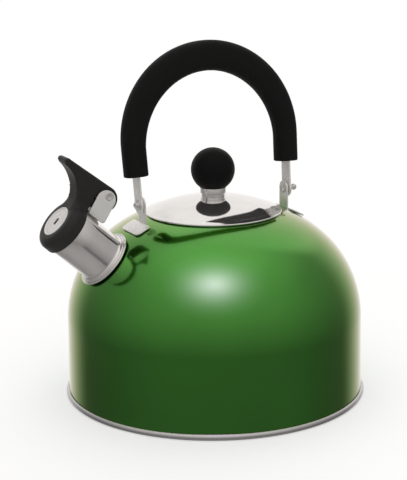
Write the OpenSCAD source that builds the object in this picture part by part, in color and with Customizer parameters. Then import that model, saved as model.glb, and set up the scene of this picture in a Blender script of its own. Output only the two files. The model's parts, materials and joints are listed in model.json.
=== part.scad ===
// Stovetop whistling kettle with a lift-off lid, a fold-down handle and a sprung whistle cap.
// +Z is up and the origin is the centre of the base. The spout points to -X, and the handle
// stands in the XZ plane and folds about the X axis.

/* [Body] */
// Outer diameter of the rolled rim
rim_d = 200; // [196:0.5:204]
// Height of the rolled rim
bead_d = 4; // [3.4:0.1:4.4]
// Height at which the wall turns into the shoulder
wall_h = 51.7; // [50:0.1:53]
// Radius of the shoulder's curve
shoulder_r = 71; // [70:0.25:72]
// Angle that the shoulder turns through before the flatter crown
shoulder_turn = 47.35; // [46.5:0.05:48]
// Radius of the crown's curve
crown_r = 81; // [80:0.25:82]
// Thickness of the body's steel
sheet_t = 0.6; // [0.5:0.05:0.8]

/* [Lid] */
// Diameter of the lid
lid_d = 89.8; // [89:0.2:91]
// Height of the lid's dome above its edge
lid_rise = 10.2; // [9.6:0.1:10.6]
// Outer diameter of the ring that sits in the neck
skirt_d = 80.6; // [79:0.2:81]
// How far the ring reaches below the lid's edge
skirt_h = 8; // [6:0.5:10]
// Diameter of the knob's ball
ball_d = 28.8; // [27:0.2:30]
// Height of the ball's centre above the base
ball_z = 149.7; // [149:0.1:151]
// Diameter of the steel collar under the ball
ferrule_d = 17.2; // [16:0.2:18]

/* [Handle] */
// Height of the handle's pivots above the base
pivot_z = 131.7; // [131:0.1:133]
// Distance between the middles of the two straps at the pivots
pivot_span = 109; // [108:0.2:110]
// How far the handle's middle stands behind the kettle's axis
handle_shift = 1.1; // [0:0.1:1.5]
// Angle that the standing handle leans back
handle_lean = 6.6; // [0:0.1:10]
// Radius of the arch, along the middle of the strap
arch_r = 55.5; // [55:0.1:56]
// Height of the arch's centre above the pivots
leg_h = 36.3; // [35:0.1:38]
// Width of the steel strap
strap_w = 10; // [9:0.5:11]
// Thickness of the steel strap
strap_t = 1.2; // [1:0.1:1.5]
// Height above the pivots at which the grip starts
grip_start = 18.2; // [17:0.2:20]
// Thickness of the grip at its two ends
grip_end_t = 15.5; // [15:0.1:16]
// Thickness of the grip at the top of the arch
grip_top_t = 19.8; // [18:0.1:20]
// Width of the grip at its two ends
grip_end_w = 14.5; // [14:0.1:16]
// Width of the grip at the top of the arch
grip_top_w = 17; // [15:0.1:18]

/* [Spout] */
// Angle of the spout above level
spout_tilt = 42.3; // [41:0.1:43]
// Outer diameter of the spout's tube
tube_d = 32.3; // [32:0.1:32.6]
// Length of the tube outside the dome
tube_l = 33.8; // [33.4:0.1:34]
// Diameter of the flange
flange_d = 39.2; // [38:0.2:40]

/* [Whistle cap] */
// Diameter of the cap
cap_d = 35.2; // [35:0.1:36]
// Distance along the spout from the dome to the cap's face
cap_face = 42.3; // [42:0.1:43]
// Diameter of the whistle's front disc
whistle_d = 21.2; // [20:0.2:22]
// Width of the lever
lever_w = 14; // [13:0.2:14.4]

/* [Hidden] */

$fn = 144;
fine_fn = 48;
// Play between two pieces that are pressed or welded together
touch = 0.02;
// Play between a pin and what turns on it
run_fit = 0.05;
// Play where a piece is only passed through
loose = 0.4;
// A cut's reach past the solid it cuts
over = 1;

// Body: a slightly tapered wall, then two arcs that share a tangent
lacquer = [0.12, 0.42, 0.12];
bead_r = bead_d / 2;
bead_cx = rim_d / 2 - bead_r;
wall_top_r = bead_cx - 0.5;
wall_low_r = bead_cx + 0.1;
wall_low_z = bead_d + 0.01;
shoulder_cx = wall_top_r - shoulder_r;
crown_cx = shoulder_cx - (crown_r - shoulder_r) * cos(shoulder_turn);
crown_cz = wall_h - (crown_r - shoulder_r) * sin(shoulder_turn);
neck_in_r = skirt_d / 2 + 0.5;
neck_out_r = neck_in_r + sheet_t;
neck_depth = 5.4;
neck_angle = acos((neck_out_r - crown_cx) / crown_r);
// Angle at which the crown is parted from the shoulder, clear of the spout's hole
crown_from = 60;

// Lid: a shallow dome whose hemmed edge stands just clear of the crown
lid_r = lid_d / 2;
lid_t = 0.6;
hem_r = 0.55;
lid_play = 0.3;
hem_z = crown_z(lid_r - hem_r) + lid_play + hem_r;
lid_dome_r = (lid_r * lid_r + lid_rise * lid_rise) / (2 * lid_rise);
lid_dome_z = hem_z + lid_rise - lid_dome_r;
lid_top_z = hem_z + lid_rise;
ball_r = ball_d / 2;
ferrule_r = ferrule_d / 2;
screw_r = 2;
insert_r = 4;
insert_low_z = ball_z - ball_r + 1.5;
insert_h = 12;
washer_r = 5;
washer_t = 0.8;
washer_z = lid_top_z - lid_t - washer_t - 0.15;

// Spout: its axis is square to the shoulder
spout_at = [-(shoulder_cx + shoulder_r * cos(spout_tilt)), 0, wall_h + shoulder_r * sin(spout_tilt)];
tube_r = tube_d / 2;
tube_t = 0.65;
tube_root = 3.6;
cap_bore = tube_r + 0.45;
flange_r = flange_d / 2;
flange_t = 0.7;
flange_lift = 0.2;

// Hinge on the spout, in the spout's frame: along the axis, then out from it
pin_along = 27.2;
pin_out = 32.1;
pin_r = 1.6;
ear_t = 0.8;
ear_y = lever_w / 2 + 1.1;
web_out = tube_r + 0.1;

// Whistle cap
cap_r = cap_d / 2;
cap_rear = tube_l - 1.6;
cap_round = 5;
whistle_r = whistle_d / 2;
disc_t = 0.8;
back_disc_r = 10.4;
back_disc_at = 35.4;
front_disc_at = cap_face - 1.1;
chamber_r = 9.6;
heel = [26.9, 29.3];
heel_r = 8.4;
tip = [62.8, 32.8];
tip_r = 1.9;
thumb = [63, 8.7];
thumb_r = 21.8;

// Handle
pivot_x = pivot_span / 2;
rivet_r = 2;
gap = 0.1;
spacer_t = 0.8;
tab_t = 1.2;
tab_out = pivot_x - strap_t / 2 - spacer_t - 2 * gap;
tab_mid = tab_out - tab_t / 2;
foot_t = 1;
foot_w = 24.6;
foot_in = 5.2;
foot_out = 5.4;

// Height of the crown at radius r
function crown_z(r) = crown_cz + sqrt(crown_r * crown_r - (r - crown_cx) * (r - crown_cx));
// Slope of the crown at radius r
function crown_tilt(r) = asin((r - crown_cx) / crown_r);
// A point of a rounded oblong with half sizes a and b, at angle u
function rounded(a, b, u) = [
    a * sign(cos(u)) * pow(abs(cos(u)), 0.8),
    b * sign(sin(u)) * pow(abs(sin(u)), 0.8)
];

// ---------- shared shapes ----------

module sector(r, from, to) {
    mid = (from + to) / 2;
    polygon([[0, 0], [r * cos(from), r * sin(from)], [r * cos(mid), r * sin(mid)],
             [r * cos(to), r * sin(to)]]);
}

module arc_band(r, t, from, to) {
    intersection() {
        difference() {
            circle(r);
            circle(r - t);
        }
        sector(2 * r, from, to);
    }
}

module ring(outer, inner, h) {
    difference() {
        cylinder(r = outer, h = h);
        translate([0, 0, -over]) cylinder(r = inner, h = h + 2 * over);
    }
}

// A solid through a row of closed outlines, all with the same number of points
module loft(outlines) {
    n = len(outlines[0]);
    last = len(outlines) - 1;
    polyhedron(
        points = [for (outline = outlines) each outline],
        faces = [
            [for (i = [0:n - 1]) i],
            [for (i = [0:n - 1]) last * n + n - 1 - i],
            for (k = [0:last - 1], i = [0:n - 1])
                [k * n + i, (k + 1) * n + i, (k + 1) * n + (i + 1) % n, k * n + (i + 1) % n]
        ]
    );
}

// The spout's frame: X out from the axis, away from the base; Z along the axis
module at_spout() {
    translate(spout_at) rotate([0, spout_tilt - 90, 0]) children();
}

// An outline drawn as (along, out) in the spout's frame, given a width across it
module across_spout(w) {
    rotate([0, -90, -90]) linear_extrude(height = w, center = true) children();
}

// The hinge's frame: X along the spout, Y out from it, Z along the pin
module at_pin() {
    at_spout() translate([pin_out, 0, pin_along]) rotate([0, -90, -90]) children();
}

// The handle's frame: the pivot line is X, and Z runs up the standing handle
module at_handle() {
    translate([handle_shift, 0, pivot_z]) rotate([-handle_lean, 0, 0]) children();
}

// ---------- body ----------

module shoulder_outline(r, t) {
    translate([shoulder_cx, wall_h]) arc_band(r, t, 0, shoulder_turn);
}

module crown_outline(r, t, from, to) {
    translate([crown_cx, crown_cz]) arc_band(r, t, from, to);
}

module spout_hole() {
    at_spout() translate([0, 0, -3 * tube_root])
        cylinder(r = tube_r + touch, h = 4 * tube_root);
}

module body_wall() {
    color(lacquer)
    rotate_extrude()
        polygon([[wall_low_r, wall_low_z], [wall_top_r, wall_h],
                 [wall_top_r - sheet_t, wall_h], [wall_low_r - sheet_t, wall_low_z]]);
}

module body_shoulder() {
    color(lacquer) {
        difference() {
            rotate_extrude() shoulder_outline(shoulder_r, sheet_t);
            spout_hole();
        }
        difference() {
            rotate_extrude() crown_outline(crown_r, sheet_t, shoulder_turn, crown_from);
            spout_hole();
        }
    }
}

module body_crown() {
    color(lacquer)
    rotate_extrude() crown_outline(crown_r, sheet_t, crown_from, neck_angle);
}

module neck_ring() {
    ring_top = crown_z(neck_out_r) - sheet_t - 2 * touch;
    color(lacquer)
    translate([0, 0, ring_top - neck_depth]) ring(neck_out_r, neck_in_r, neck_depth);
}

module base_pan() {
    pan_t = 0.6;
    step_r = 0.86 * bead_cx;
    step_h = 1;
    step_run = 2;
    // The step's upper face lies this much further in, so that the sheet keeps its thickness
    shift = 0.3;
    pan_r = bead_cx - bead_r / 2;
    color([0.75, 0.75, 0.74])
    rotate_extrude() {
        polygon([[0, 0], [step_r, 0], [step_r + step_run, step_h], [pan_r, step_h],
                 [pan_r, step_h + pan_t], [step_r + step_run - shift, step_h + pan_t],
                 [step_r - shift, pan_t], [0, pan_t]]);
        translate([bead_cx, bead_r]) circle(bead_r);
    }
}

// ---------- spout ----------

module spout_tube() {
    fillet = 2;
    lip = 0.5;
    color([0.80, 0.79, 0.78])
    at_spout() rotate_extrude() {
        translate([tube_r - tube_t, -tube_root]) square([tube_t, tube_l + tube_root]);
        translate([tube_r - tube_t / 2, flange_lift])
            square([flange_r - tube_r + tube_t / 2 - lip, flange_t]);
        translate([flange_r - lip, flange_lift + lip]) circle(lip);
        difference() {
            translate([tube_r - tube_t / 2, flange_lift + flange_t - touch])
                square([fillet + tube_t / 2, fillet]);
            translate([tube_r + fillet, flange_lift + flange_t + fillet]) circle(fillet);
        }
    }
}

module spout_seal() {
    seal_r = flange_r - 1.8;
    seal_h = 3.2;
    $fn = 256;
    color([0.08, 0.08, 0.08])
    difference() {
        at_spout() translate([0, 0, flange_lift - touch - seal_h])
            ring(seal_r, tube_r + 2 * touch, seal_h);
        rotate_extrude() shoulder_outline(shoulder_r + touch, 2 * seal_h);
        rotate_extrude() crown_outline(crown_r + touch, 2 * seal_h, shoulder_turn, neck_angle);
    }
}

// ---------- lid ----------

module lid_cover() {
    edge_angle = acos((lid_r - hem_r) / lid_dome_r);
    color([0.86, 0.85, 0.85])
    difference() {
        rotate_extrude() {
            translate([0, lid_dome_z]) intersection() {
                arc_band(lid_dome_r, lid_t, edge_angle, 90);
                square(lid_dome_r + over);
            }
            translate([lid_r - hem_r, hem_z]) circle(hem_r);
        }
        translate([0, 0, lid_top_z - 2 * lid_t]) cylinder(r = screw_r + touch, h = 3 * lid_t);
    }
}

module lid_skirt() {
    skirt_t = 0.7;
    color([0.80, 0.80, 0.79])
    rotate_extrude() intersection() {
        translate([skirt_d / 2 - skirt_t, hem_z - skirt_h]) square([skirt_t, skirt_h + lid_rise]);
        translate([0, lid_dome_z]) circle(lid_dome_r - lid_t - touch);
    }
}

module knob_ball() {
    color([0.07, 0.07, 0.07])
    difference() {
        translate([0, 0, ball_z]) sphere(ball_r);
        translate([0, 0, insert_low_z]) cylinder(r = insert_r + touch, h = insert_h + touch);
        translate([0, 0, ball_z - ball_r - over]) cylinder(r = screw_r + loose, h = ball_r);
    }
}

module knob_ferrule() {
    step_z = lid_top_z + 2;
    foot_r = ferrule_r - 0.8;
    bore_r = screw_r + touch;
    color([0.82, 0.81, 0.80])
    rotate_extrude() difference() {
        union() {
            translate([bore_r, lid_dome_z]) square([foot_r - bore_r, ball_z - lid_dome_z]);
            translate([bore_r, step_z]) square([ferrule_r - bore_r, ball_z - step_z]);
        }
        translate([0, lid_dome_z]) circle(lid_dome_r + touch);
        translate([0, ball_z]) circle(ball_r + touch);
    }
}

module knob_insert() {
    color([0.78, 0.66, 0.35])
    translate([0, 0, insert_low_z]) ring(insert_r, screw_r + touch, insert_h);
}

module knob_screw() {
    head_r = 3.5;
    head_h = 2.2;
    cross = [4, 0.9, head_h];
    shank_top = insert_low_z + insert_h - 2;
    color([0.70, 0.70, 0.70])
    difference() {
        union() {
            translate([0, 0, washer_z - head_h - touch]) cylinder(r = head_r, h = head_h);
            translate([0, 0, washer_z - over]) cylinder(r = screw_r, h = shank_top - washer_z + over);
        }
        for (turn = [0, 90]) translate([0, 0, washer_z - head_h]) rotate(turn)
            cube(cross, center = true);
    }
}

module knob_washer() {
    color([0.72, 0.72, 0.72])
    translate([0, 0, washer_z]) ring(washer_r, screw_r + touch, washer_t);
}

// ---------- handle ----------

module strap_outline(extra) {
    half = strap_t / 2 + extra;
    translate([0, leg_h]) arc_band(arch_r + half, 2 * half, 0, 90);
    translate([0, leg_h]) arc_band(arch_r + half, 2 * half, 90, 180);
    for (side = [-1, 1])
        polygon([[side * (pivot_x - half), 0], [side * (pivot_x + half), 0],
                 [side * (arch_r + half), leg_h], [side * (arch_r - half), leg_h]]);
}

module strap_band(extra) {
    rotate([90, 0, 0]) linear_extrude(height = strap_w + 2 * extra, center = true)
        strap_outline(extra);
}

module handle_strap() {
    eye_r = 5.8;
    color([0.74, 0.72, 0.71])
    at_handle() difference() {
        union() {
            strap_band(0);
            for (side = [-1, 1]) translate([side * pivot_x, 0, 0]) rotate([0, 90, 0])
                cylinder(r = eye_r, h = strap_t, center = true);
        }
        rotate([0, 90, 0]) cylinder(r = rivet_r + run_fit, h = 2 * pivot_span, center = true);
    }
}

// One outline of the grip: its middle, the way out of the arch, and how full it is
function grip_outline(mid, out, share, full) = [
    for (u = [0:10:350])
        let (p = rounded((grip_end_t + (grip_top_t - grip_end_t) * share) / 2 * full,
                         (grip_end_w + (grip_top_w - grip_end_w) * share) / 2 * full, u))
        [mid[0] + out[0] * p[0], p[1], mid[1] + out[1] * p[0]]
];
// The grip's outlines up one leg: fullness and height step at its rounded end
grip_end_steps = [[0.84, 0], [0.93, 0.25], [0.98, 0.8], [1, 1.8], [1, 9]];
function grip_leg(side) = [
    for (step = grip_end_steps)
        let (h = grip_start + step[1])
        grip_outline([side * (pivot_x + (arch_r - pivot_x) * h / leg_h), h], [side, 0], 0, step[0])
];
function grip_arch() = [
    for (a = [0:5:180])
        grip_outline([arch_r * cos(a), leg_h + arch_r * sin(a)], [cos(a), sin(a)], sin(a), 1)
];
function reversed(items) = [for (i = [len(items) - 1:-1:0]) items[i]];

module handle_grip() {
    color([0.09, 0.09, 0.09])
    at_handle() difference() {
        loft(concat(grip_leg(1), grip_arch(), reversed(grip_leg(-1))));
        strap_band(run_fit);
    }
}

// ---------- handle brackets, rivets and washers ----------

// Places a piece drawn for the rear at either end of the pivot line
module at_side(side) {
    translate([handle_shift, 0, 0]) mirror([side < 0 ? 1 : 0, 0, 0]) children();
}

module bracket(side) {
    foot_at = pivot_x + 2.5;
    foot_r = foot_at + side * handle_shift;
    tilt = crown_tilt(foot_r);
    corner = 3.4;
    tab_low = crown_z(tab_mid - tab_t / 2 + side * handle_shift) + 0.12;
    color([0.78, 0.77, 0.76])
    at_side(side) difference() {
        union() {
            translate([foot_at, 0, crown_z(foot_r) + touch]) rotate([0, tilt, 0])
                linear_extrude(height = foot_t) {
                    translate([-foot_in, -foot_w / 2])
                        square([foot_in + foot_out - corner, foot_w]);
                    translate([-foot_in, -foot_w / 2 + corner])
                        square([foot_in + foot_out, foot_w - 2 * corner]);
                    for (end = [-1, 1])
                        translate([foot_out - corner, end * (foot_w / 2 - corner)]) circle(corner);
                }
            translate([tab_mid, 0, 0]) {
                translate([-tab_t / 2, -strap_w / 2, tab_low])
                    cube([tab_t, strap_w, pivot_z - tab_low]);
                translate([0, 0, pivot_z]) rotate([0, 90, 0])
                    cylinder(r = strap_w / 2, h = tab_t, center = true);
            }
        }
        translate([tab_mid, 0, pivot_z]) rotate([0, 90, 0])
            cylinder(r = rivet_r + touch, h = 2 * tab_t, center = true);
    }
}

module bracket_spout_side() { bracket(-1); }
module bracket_rear() { bracket(1); }

// Puts a piece on the pivot line, x outwards from the kettle's middle
module on_pivot(side, x) {
    at_side(side) translate([x, 0, pivot_z]) rotate([0, 90, 0]) children();
}

rivet_washer_t = 0.4;
rivet_washer_x = pivot_x + strap_t / 2 + gap;
rivet_head_x = rivet_washer_x + rivet_washer_t + touch;

// The rivet's neck carries its head clear of the strap at the rear
module pivot_rivet(side, neck) {
    tail_r = 3;
    tail_t = 0.9;
    tail_x = tab_out - tab_t - touch - tail_t;
    head_r = neck > 0 ? 2.2 : 2.6;
    neck_r = 1.3;
    color([0.82, 0.81, 0.80]) {
        on_pivot(side, tail_x) cylinder(r = tail_r, h = tail_t);
        on_pivot(side, tail_x) cylinder(r = rivet_r, h = rivet_head_x - tail_x + head_r / 2);
        if (neck > 0) {
            on_pivot(side, rivet_head_x) cylinder(r = neck_r, h = neck);
            on_pivot(side, rivet_head_x + neck) sphere(head_r);
        } else
            on_pivot(side, rivet_head_x) rotate_extrude() intersection() {
                circle(head_r);
                square(head_r);
            }
    }
}

module pivot_rivet_spout_side() { pivot_rivet(-1, 0); }
module pivot_rivet_rear() { pivot_rivet(1, 4.1); }

module pivot_spacer(side) {
    spacer_r = 4;
    color([0.70, 0.70, 0.70])
    on_pivot(side, tab_out + touch) ring(spacer_r, rivet_r + touch, spacer_t);
}

module pivot_spacer_spout_side() { pivot_spacer(-1); }
module pivot_spacer_rear() { pivot_spacer(1); }

module rivet_washer(side) {
    washer_out_r = 3.5;
    color([0.80, 0.80, 0.80])
    on_pivot(side, rivet_washer_x) ring(washer_out_r, rivet_r + touch, rivet_washer_t);
}

module rivet_washer_spout_side() { rivet_washer(-1); }
module rivet_washer_rear() { rivet_washer(1); }

// ---------- hinge on the spout ----------

module ear_outline() {
    translate([pin_along + 0.1, pin_out - 3.2]) circle(6.5);
    polygon([[18.7, web_out], [31.6, web_out], [33.75, 28.3], [20.95, 29.8]]);
}

module channel_outline(grow) {
    bend = 0.8 + grow;
    half = ear_y + grow;
    low = web_out + ear_t - grow;
    for (end = [-1, 1]) translate([low + bend, end * (half - bend)]) circle(bend, $fn = fine_fn);
    translate([low, bend - half]) square([30, 2 * (half - bend)]);
    translate([low + bend, -half]) square([30, 2 * half]);
}

module hinge_bracket() {
    color([0.80, 0.78, 0.77])
    difference() {
        at_spout() intersection() {
            linear_extrude(height = 50) difference() {
                channel_outline(ear_t);
                channel_outline(0);
            }
            across_spout(30) ear_outline();
        }
        at_pin() cylinder(r = pin_r + touch, h = 30, center = true);
    }
}

module hinge_pin() {
    pin_half = ear_y + ear_t;
    head_r = 2.8;
    head_t = 0.5;
    color([0.84, 0.82, 0.81]) at_pin() {
        cylinder(r = pin_r, h = 2 * pin_half + head_t, center = true);
        for (end = [0, 1]) mirror([0, 0, end]) translate([0, 0, pin_half + touch])
            cylinder(r1 = head_r, r2 = head_r - head_t, h = head_t);
    }
}

// The spring: a leg that stands on the web, a coil round the pin, and a leg towards the cap
wire_r = 0.4;
coil_r = 2.7;
coil_from = -(lever_w / 2 - 0.3);
coil_rise = 2.1 * wire_r;
coil_sweep = 2 * 360 + 249;
spring_path = concat(
    [[coil_r, -14.2, coil_from], [coil_r, -7, coil_from]],
    [for (a = [0:19:coil_sweep]) [coil_r * cos(a), coil_r * sin(a), coil_from + coil_rise * a / 360]],
    [[6.2, -5.2, coil_from + coil_rise * coil_sweep / 360]]
);
function unit(v) = v / norm(v);
function wire_outline(i) =
    let (a = spring_path[max(i - 1, 0)], b = spring_path[min(i + 1, len(spring_path) - 1)],
         d = unit(b - a), u = unit(cross(d, [0, 0, 1])), v = cross(d, u))
    [for (k = [0:45:315]) spring_path[i] + wire_r * (cos(k) * u + sin(k) * v)];

module hinge_spring() {
    color([0.60, 0.60, 0.60])
    at_pin() loft([for (i = [0:len(spring_path) - 1]) wire_outline(i)]);
}

// ---------- whistle cap ----------

module cap_outline() {
    difference() {
        union() {
            translate([0, cap_rear]) square([cap_r, cap_face - cap_rear - cap_round]);
            translate([0, cap_face - cap_round]) square([cap_r - cap_round, cap_round]);
            translate([cap_r - cap_round, cap_face - cap_round]) circle(cap_round);
        }
        translate([0, cap_rear - over]) square([cap_bore, over + back_disc_at - cap_rear]);
        translate([0, cap_rear]) square([chamber_r, cap_face]);
        translate([0, back_disc_at - over]) square([back_disc_r + touch, disc_t + over + touch]);
        translate([0, front_disc_at - touch]) square([whistle_r + touch, cap_face]);
    }
}

module lever_outline() {
    line_tilt = 85;
    difference() {
        polygon([tip + tip_r * [cos(line_tilt), sin(line_tilt)],
                 heel + heel_r * [cos(line_tilt), sin(line_tilt)],
                 heel, [31.8, 22], [31.8, 17.9], [33.4, 15],
                 [tip[0], 15], tip]);
        translate(thumb) circle(thumb_r);
    }
    translate(heel) circle(heel_r);
    translate(tip) circle(tip_r);
}

// Room for the spring, and for its two legs as the lever swings past them
module spring_pocket() {
    depth = 3.2;
    short_leg = 9.6;
    long_leg = 15.6;
    sector_r = 20;
    at_pin() translate([0, 0, -lever_w / 2 - over]) {
        cylinder(r = coil_r + wire_r + 0.8, h = depth + over);
        linear_extrude(height = depth + over) {
            intersection() {
                circle(short_leg);
                sector(sector_r, -150, -34);
            }
            intersection() {
                circle(long_leg);
                sector(1.5 * sector_r, -150, -66);
            }
        }
    }
}

module whistle_cap() {
    color([0.10, 0.10, 0.10])
    difference() {
        at_spout() {
            rotate_extrude() cap_outline();
            difference() {
                across_spout(lever_w) lever_outline();
                cylinder(r = cap_bore, h = cap_face - 2);
            }
        }
        spring_pocket();
        at_pin() cylinder(r = pin_r + run_fit, h = 2 * lever_w, center = true);
    }
}

module whistle_front_disc() {
    rim_w = 1;
    rim_h = 0.35;
    slot = [4.5, 2, 4];
    color([0.82, 0.80, 0.79])
    at_spout() translate([0, 0, front_disc_at]) difference() {
        union() {
            cylinder(r = whistle_r, h = disc_t);
            ring(whistle_r, whistle_r - rim_w, disc_t + rim_h);
        }
        cube(slot, center = true);
    }
}

module whistle_back_disc() {
    hole_r = 1.8;
    color([0.78, 0.78, 0.77])
    at_spout() translate([0, 0, back_disc_at]) ring(back_disc_r, hole_r, disc_t);
}

module whistle_spacer() {
    from = back_disc_at + disc_t + touch;
    color([0.72, 0.72, 0.72])
    at_spout() translate([0, 0, from])
        ring(chamber_r - touch, chamber_r - disc_t, front_disc_at - from - touch);
}

module cap_seal() {
    seal_t = 1.3;
    color([0.85, 0.85, 0.84])
    at_spout() translate([0, 0, back_disc_at - seal_t - touch])
        ring(cap_bore - run_fit, back_disc_r + 1.6, seal_t);
}

body_wall();
body_shoulder();
body_crown();
neck_ring();
base_pan();
spout_tube();
spout_seal();
lid_cover();
lid_skirt();
knob_ball();
knob_ferrule();
knob_insert();
knob_screw();
knob_washer();
handle_grip();
handle_strap();
bracket_spout_side();
bracket_rear();
pivot_rivet_spout_side();
pivot_rivet_rear();
pivot_spacer_spout_side();
pivot_spacer_rear();
rivet_washer_spout_side();
rivet_washer_rear();
hinge_bracket();
hinge_pin();
hinge_spring();
whistle_cap();
whistle_front_disc();
whistle_back_disc();
whistle_spacer();
cap_seal();
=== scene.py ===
import json
import math

import bmesh
import bpy
import numpy as np
from mathutils import Matrix, Vector


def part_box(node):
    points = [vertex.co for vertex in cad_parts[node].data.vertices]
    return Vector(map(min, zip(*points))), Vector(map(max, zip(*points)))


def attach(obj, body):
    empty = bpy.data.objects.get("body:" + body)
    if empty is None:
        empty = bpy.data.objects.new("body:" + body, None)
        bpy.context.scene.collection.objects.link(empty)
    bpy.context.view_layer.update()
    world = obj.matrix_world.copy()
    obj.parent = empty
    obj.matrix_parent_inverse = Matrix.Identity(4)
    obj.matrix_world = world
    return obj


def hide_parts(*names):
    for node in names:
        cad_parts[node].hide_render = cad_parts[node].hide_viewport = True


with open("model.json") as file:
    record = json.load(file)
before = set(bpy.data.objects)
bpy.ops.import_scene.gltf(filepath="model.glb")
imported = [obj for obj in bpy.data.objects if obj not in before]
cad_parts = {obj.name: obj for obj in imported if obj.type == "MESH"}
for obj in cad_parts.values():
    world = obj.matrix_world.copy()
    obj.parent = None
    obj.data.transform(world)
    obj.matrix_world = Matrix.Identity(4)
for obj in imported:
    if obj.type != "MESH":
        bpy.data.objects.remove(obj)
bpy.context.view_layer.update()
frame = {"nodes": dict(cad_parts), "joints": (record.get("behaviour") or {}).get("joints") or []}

MM = 0.001


# ---------- sizes, in millimetres, from the frame and from the kettle's few driving dimensions ----------

def low(node):
    """Lowest corner of a CAD node's box."""
    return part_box(node)[0] / MM


def high(node):
    """Highest corner of a CAD node's box."""
    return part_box(node)[1] / MM


def joint_at(name):
    found = next(j for j in frame["joints"] if j["name"] == name)
    return Vector(found["pos_m"]) / MM


# Body
rim_r = high("base_pan").x
bead_r = high("base_pan").z / 2
bead_cx = rim_r - bead_r
wall_h = high("body_wall").z
wall_low_r = high("body_wall").x
wall_top_r = high("body_shoulder").x
shoulder_r = 71.0
shoulder_turn = math.radians(47.35)
crown_r = 81.0
sheet_t = 0.6
shoulder_cx = wall_top_r - shoulder_r
crown_cx = shoulder_cx - (crown_r - shoulder_r) * math.cos(shoulder_turn)
crown_cz = wall_h - (crown_r - shoulder_r) * math.sin(shoulder_turn)
neck_out_r = high("neck_ring").x
neck_in_r = neck_out_r - sheet_t
neck_low_z = low("neck_ring").z

# Lid and knob
lid_r = high("lid_cover").x
hem_r = 0.55
hem_z = low("lid_cover").z + hem_r
lid_top_z = high("lid_cover").z
lid_rise = lid_top_z - hem_z
lid_t = 0.6
lid_dome_r = (lid_r ** 2 + lid_rise ** 2) / (2 * lid_rise)
lid_dome_z = lid_top_z - lid_dome_r
ball_r = high("knob_ball").x
ball_z = high("knob_ball").z - ball_r
insert_top_z = high("knob_insert").z
ferrule_r = high("knob_ferrule").x
screw_r = 2.0

# Handle
pivot = joint_at("handle_fold")
pivot_x = 54.5
arch_r = 55.5
leg_h = 36.3
lean = math.radians(6.6)
strap_w = 10.0
strap_t = 1.2
eye_r = 5.8
grip_start = 18.2
grip_end = (15.5, 14.5)
grip_top = (19.8, 17.0)
strap_leg = math.hypot(leg_h, arch_r - pivot_x)
strap_l = 2 * strap_leg + math.pi * arch_r
tab_out = pivot_x - 1.6
tab_t = 1.2
tab_eye_r = 5
foot_size = (24.6, 10.6)

# Spout, cap and hinge
tilt = math.radians(42.3)
spout_at = Vector((-(shoulder_cx + shoulder_r * math.cos(tilt)), 0, wall_h + shoulder_r * math.sin(tilt)))
along = Vector((-math.cos(tilt), 0, math.sin(tilt)))
outward = Vector((math.sin(tilt), 0, math.cos(tilt)))
tube_r = 16.15
tube_l = 33.8
tube_root = 3.6
flange_r = high("spout_tube").y
hinge = joint_at("cap_open")
pin_along = (hinge - spout_at).dot(along)
pin_out = (hinge - spout_at).dot(outward)
pin_r = 1.6
ear_y = 8.1
ear_t = 0.8
lever_w = 14.0
cap_r = high("whistle_cap").y
cap_rear = 32.2
cap_face = 42.3
whistle_r = high("whistle_front_disc").y


# ---------- places ----------

def upright(p):
    return Vector(p)


def in_spout(p):
    """(out, across, along) in the spout's frame to the row frame."""
    return spout_at + outward * p[0] + Vector((0, p[1], 0)) + along * p[2]


def on_pin(p):
    """(radius x, radius y, along the pin) about the hinge pin."""
    return hinge + along * p[0] + outward * p[1] + Vector((0, p[2], 0))


def in_handle(p):
    """The handle's own frame, which leans back about the pivot line."""
    return pivot + Matrix.Rotation(-lean, 3, "X") @ Vector(p)


def on_pivot(side):
    """(radius, radius, outward from the middle) about the pivot line on one side."""
    def place(p):
        return Vector((pivot.x + side * p[2], p[0], pivot.z + p[1]))
    return place


# ---------- mesh making ----------

def arc(cx, cy, r, start, end, steps):
    """Points of an arc, with the angles in radians."""
    angles = [start + (end - start) * k / steps for k in range(steps + 1)]
    return [(cx + r * math.cos(a), cy + r * math.sin(a)) for a in angles]


def rounded(corners, steps=5):
    """A closed outline whose corners (x, y, radius) are rounded off."""
    outline = []
    for i, (x, y, r) in enumerate(corners):
        here = Vector((x, y))
        before = Vector(corners[i - 1][:2]) - here
        after = Vector(corners[(i + 1) % len(corners)][:2]) - here
        if r <= 0:
            outline.append((x, y))
            continue
        half = before.angle(after) / 2
        reach = min(r / math.tan(half), 0.49 * before.length, 0.49 * after.length)
        a = before.normalized()
        b = after.normalized()
        centre = here + (a + b).normalized() * reach / math.cos(half)
        first = here + a * reach - centre
        last = here + b * reach - centre
        turn = math.atan2(first.x * last.y - first.y * last.x, first.dot(last))
        for k in range(steps + 1):
            c = math.cos(turn * k / steps)
            s = math.sin(turn * k / steps)
            outline.append((centre.x + first.x * c - first.y * s, centre.y + first.x * s + first.y * c))
    return outline


def mesh_object(name, points, faces, face_slots=None):
    """A new object from points in millimetres, with its faces turned outwards."""
    mesh = bpy.data.meshes.new(name)
    mesh.from_pydata([Vector(p) * MM for p in points], [], faces)
    if face_slots:
        mesh.polygons.foreach_set("material_index", face_slots)
    made = bmesh.new()
    made.from_mesh(mesh)
    bmesh.ops.recalc_face_normals(made, faces=made.faces)
    made.to_mesh(mesh)
    made.free()
    thing = bpy.data.objects.new(name, mesh)
    bpy.context.scene.collection.objects.link(thing)
    return thing


def apply_modifiers(thing):
    """Replaces a piece's mesh by what its modifiers make of it."""
    bpy.context.view_layer.update()
    shaped = bpy.data.meshes.new_from_object(thing.evaluated_get(bpy.context.evaluated_depsgraph_get()))
    old = thing.data
    thing.modifiers.clear()
    thing.data = shaped
    bpy.data.meshes.remove(old)
    return thing


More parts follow.
